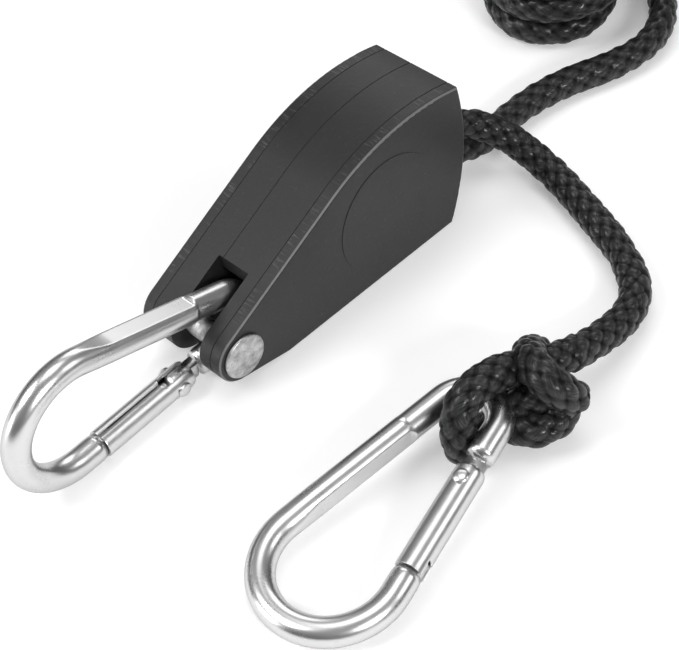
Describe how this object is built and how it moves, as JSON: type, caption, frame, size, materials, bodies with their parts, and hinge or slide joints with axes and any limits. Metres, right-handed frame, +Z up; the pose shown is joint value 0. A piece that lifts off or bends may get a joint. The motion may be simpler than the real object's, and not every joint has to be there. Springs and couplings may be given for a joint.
{
  "type": "rope ratchet hanger",
  "caption": "Black plastic pulley housing with a wheel and a ratchet pawl inside, a snap hook riveted in its clevis, and a braided rope tied to a second snap hook.",
  "frame": {"origin": "centre of the flat foot that the housing stands on, halfway between its two faces", "axes": "+X along the housing towards the rope mouth, +Y through its thickness towards the back shell, +Z up from the foot"},
  "size_m": [0.2395, 0.1466, 0.0334],
  "materials": {
    "housing": "finely textured satin black",
    "hook_wire": "bright zinc plate on bent steel wire",
    "gate_sheet": "bright zinc plate on folded sheet",
    "rivet": "satin, slightly mottled",
    "pins": "zinc plate",
    "screws": "dark plated",
    "wheel": "moulded",
    "pawl": "dark pressed steel",
    "spring_wire": "drawn wire",
    "rope": "glossy braided filament"
  },
  "bodies": {
    "housing": {"front_shell": "housing", "back_shell": "housing", "clevis_rivet": "rivet", "shell_screws": "screws", "wheel_axle": "pins", "pawl_pin": "pins", "pawl_spring": "spring_wire", "rope_in_housing": "rope", "rope_load_line": "rope", "rope_tail_line": "rope", "rope_knot": "rope", "rope_hank": "rope"},
    "wheel": {"rope_wheel": "wheel"},
    "pawl": {"pawl": "pawl"},
    "top_hook": {"top_hook_frame": "hook_wire"},
    "top_gate": {"top_hook_gate": "gate_sheet", "top_hook_gate_pin": "pins", "top_hook_plunger": "pins", "top_hook_gate_spring": "spring_wire"},
    "load_hook": {"load_hook_frame": "hook_wire"},
    "load_gate": {"load_hook_gate": "gate_sheet", "load_hook_gate_pin": "pins", "load_hook_plunger": "pins", "load_hook_gate_spring": "spring_wire"}
  },
  "joints": [
    {"name": "top_hook_swing", "type": "hinge", "parent": "housing", "child": "top_hook", "pos_m": [-0.0334, 0, 0.0079], "axis": [0, 1, 0], "range_deg": [-75, 50]},
    {"name": "top_gate_swing", "type": "hinge", "parent": "top_hook", "child": "top_gate", "pos_m": [-0.04367, -0.00189, 0.00276], "axis": [-0.0502, 0.9968, 0.0619], "range_deg": [0, 35], "stiffness_Nm_per_rad": 0.05, "springref_deg": -34.38},
    {"name": "load_hook_swing", "type": "hinge", "parent": "housing", "child": "load_hook", "pos_m": [-0.01249, -0.0521, 0.00845], "axis": [-0.0663, 0.9978, 0], "range_deg": [0, 60]},
    {"name": "load_gate_swing", "type": "hinge", "parent": "load_hook", "child": "load_gate", "pos_m": [-0.02897, -0.06132, 0.00666], "axis": [0.1043, 0.0069, -0.9945], "range_deg": [0, 35], "stiffness_Nm_per_rad": 0.05, "springref_deg": -34.38},
    {"name": "wheel_spin", "type": "hinge", "parent": "housing", "child": "wheel", "pos_m": [0.006, 0, 0.015], "axis": [0, 1, 0], "continuous": true},
    {"name": "pawl_lift", "type": "hinge", "parent": "housing", "child": "pawl", "pos_m": [0.02, 0, 0.0252], "axis": [0, 1, 0], "range_deg": [0, 14], "stiffness_Nm_per_rad": 0.01, "springref_deg": -28.65}
  ]
}
